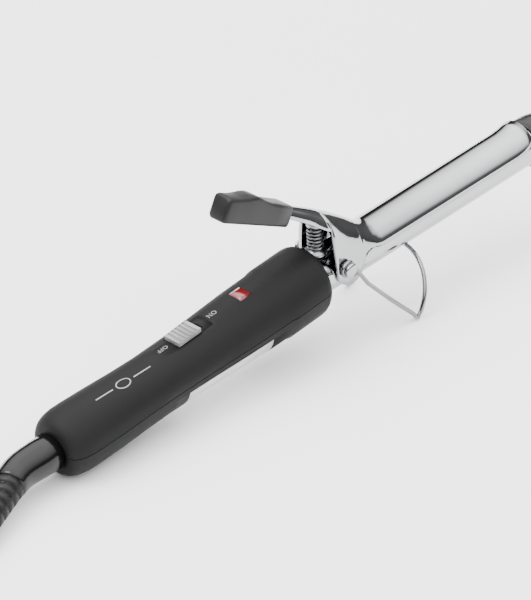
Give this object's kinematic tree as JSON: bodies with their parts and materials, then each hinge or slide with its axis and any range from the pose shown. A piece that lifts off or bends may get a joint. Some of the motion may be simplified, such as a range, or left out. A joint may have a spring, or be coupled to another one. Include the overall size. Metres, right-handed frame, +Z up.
{
  "type": "curling iron",
  "caption": "Corded curling iron with a slim polished barrel, spring clip with thumb lever, fold-away wire stand, slide switch and swivel cord.",
  "frame": {"origin": "middle of the iron's footprint on the surface it stands on, the cord left out", "axes": "+X towards the tip of the barrel, +Z up away from the table, +Y to the iron's left"},
  "size_m": [0.4497, 0.0662, 0.0867],
  "materials": {
    "handle_plastic": "satin, finely textured",
    "pad_plastic": "satin",
    "black_gloss_plastic": "gloss",
    "switch_plastic": "satin silver",
    "label_foil": "satin silver",
    "red_lens": "gloss",
    "lamp_glass": "clear",
    "chrome": "polished",
    "steel": "plain",
    "aluminium": "plain",
    "brass": "plain",
    "ceramic": "matt fired ceramic",
    "phenolic": "plain",
    "rubber": "satin",
    "tie_strap": "woven",
    "red_insulation": "plain",
    "blue_insulation": "plain"
  },
  "bodies": {
    "iron_body": {"handle_upper_shell": "handle_plastic", "handle_lower_shell": "handle_plastic", "rating_label": "label_foil", "handle_screw_1": "steel", "handle_screw_2": "steel", "slide_switch_body": "black_gloss_plastic", "switch_lug_1": "brass", "switch_lug_2": "brass", "switch_lug_3": "brass", "indicator_lens": "red_lens", "indicator_lamp": "lamp_glass", "barrel_tube": "chrome", "front_bush": "phenolic", "rear_bush": "phenolic", "heater_block_upper": "aluminium", "heater_block_lower": "aluminium", "electrode_upper": "aluminium", "electrode_lower": "aluminium", "heating_stone_1": "ceramic", "heating_stone_2": "ceramic", "heating_stone_3": "ceramic", "cool_tip": "black_gloss_plastic", "thermal_fuse": "steel", "pivot_rivet_near": "chrome", "pivot_rivet_far": "chrome", "spring_seat": "steel", "clip_spring": "steel", "contact_blade_live": "brass", "contact_blade_neutral": "brass", "lead_live": "red_insulation", "lead_neutral": "blue_insulation", "lead_switched": "red_insulation", "cord_tube": "rubber", "cord_coil": "rubber", "cord_tie": "tie_strap", "cord_tail": "rubber", "plug_body": "rubber", "plug_pin_1": "steel", "plug_pin_2": "steel"},
    "clip_lever": {"clip": "chrome", "thumb_pad": "pad_plastic", "spring_peg": "steel"},
    "stand": {"wire_stand": "chrome"},
    "slider": {"switch_slider": "switch_plastic"},
    "cord_swivel": {"swivel_cap": "black_gloss_plastic", "strain_relief": "rubber", "contact_drum": "brass"}
  },
  "joints": [
    {"name": "clip_hinge", "type": "hinge", "parent": "iron_body", "child": "clip_lever", "pos_m": [0.01809, 0, 0.03522], "axis": [0, -1, 0], "range_deg": [0, 25], "stiffness_Nm_per_rad": 0.6, "springref_deg": -20.05, "deforming": ["clip_spring"]},
    {"name": "stand_hinge", "type": "hinge", "parent": "iron_body", "child": "stand", "pos_m": [0.01809, 0, 0.03522], "axis": [0, 1, 0], "range_deg": [0, 85]},
    {"name": "switch_slide", "type": "slide", "parent": "iron_body", "child": "slider", "axis": [0.9861, 0, 0.1663], "range_m": [0, 0.006]},
    {"name": "cord_swivel_turn", "type": "hinge", "parent": "iron_body", "child": "cord_swivel", "pos_m": [-0.1224, 0, 0.01382], "axis": [0.9964, 0, 0.0849], "continuous": true}
  ]
}
